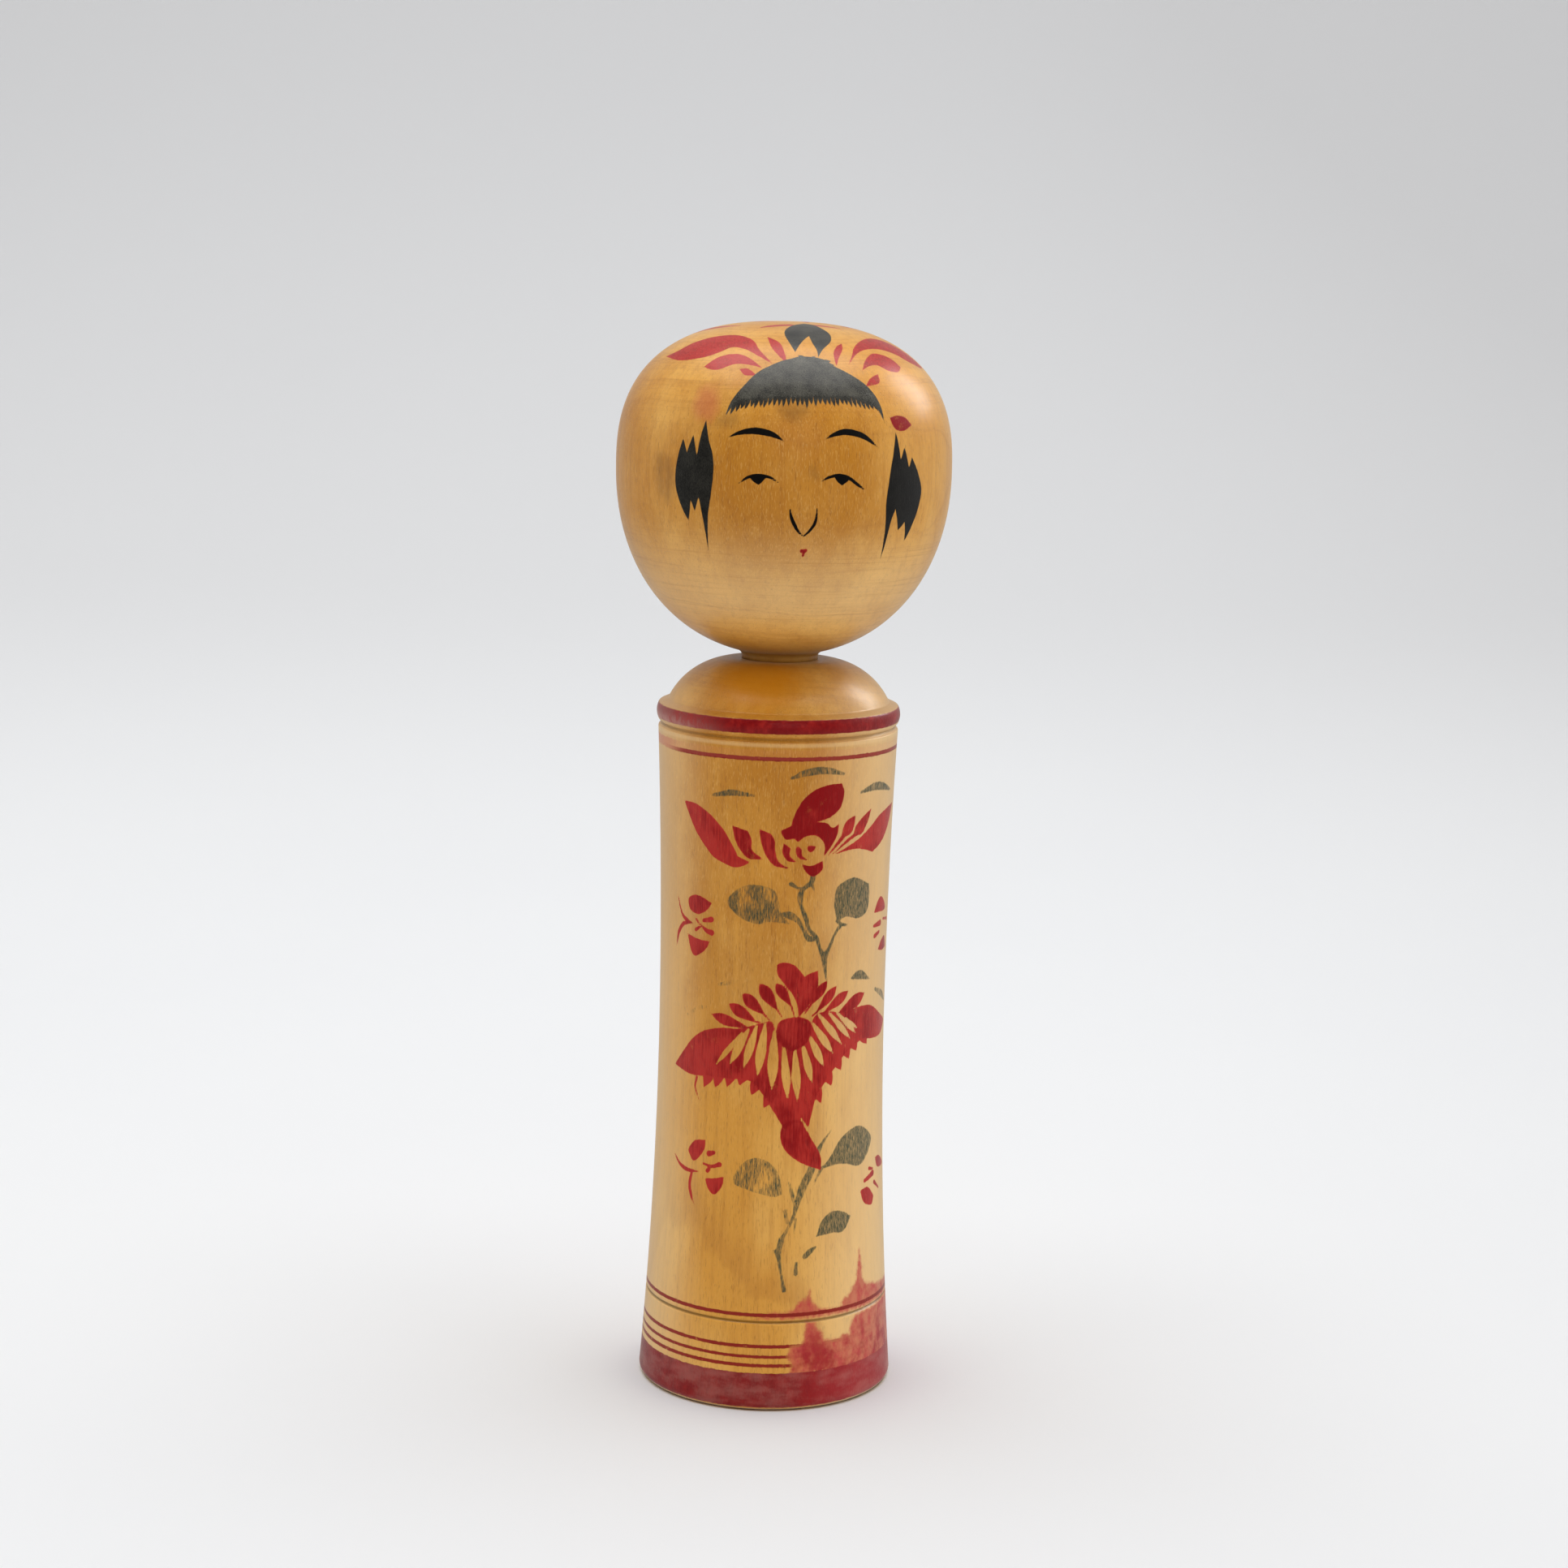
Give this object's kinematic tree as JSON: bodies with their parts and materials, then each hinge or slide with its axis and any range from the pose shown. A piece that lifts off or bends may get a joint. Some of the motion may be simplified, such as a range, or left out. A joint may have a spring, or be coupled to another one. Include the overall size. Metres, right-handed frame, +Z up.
{
  "type": "kokeshi doll",
  "caption": "Turned wooden kokeshi doll with a round head that turns on a limbless, waisted body, painted with flowers and lathe bands.",
  "frame": {"origin": "centre of the flat base, on the face the doll stands on", "axes": "+Z up along the lathe axis from base to crown, -Y towards the painted front, +X to the right seen from the front"},
  "size_m": [0.0748, 0.0748, 0.242],
  "materials": {
    "body_wood": "waxed pale wood, brush painted in red, green and black",
    "head_wood": "waxed pale wood, brush painted in black and red"
  },
  "bodies": {
    "body": {"body": "body_wood"},
    "head": {"head": "head_wood"}
  },
  "joints": [
    {"name": "head_turn", "type": "hinge", "parent": "body", "child": "head", "pos_m": [0, 0, 0.167], "axis": [0, 0, 1], "continuous": true}
  ]
}
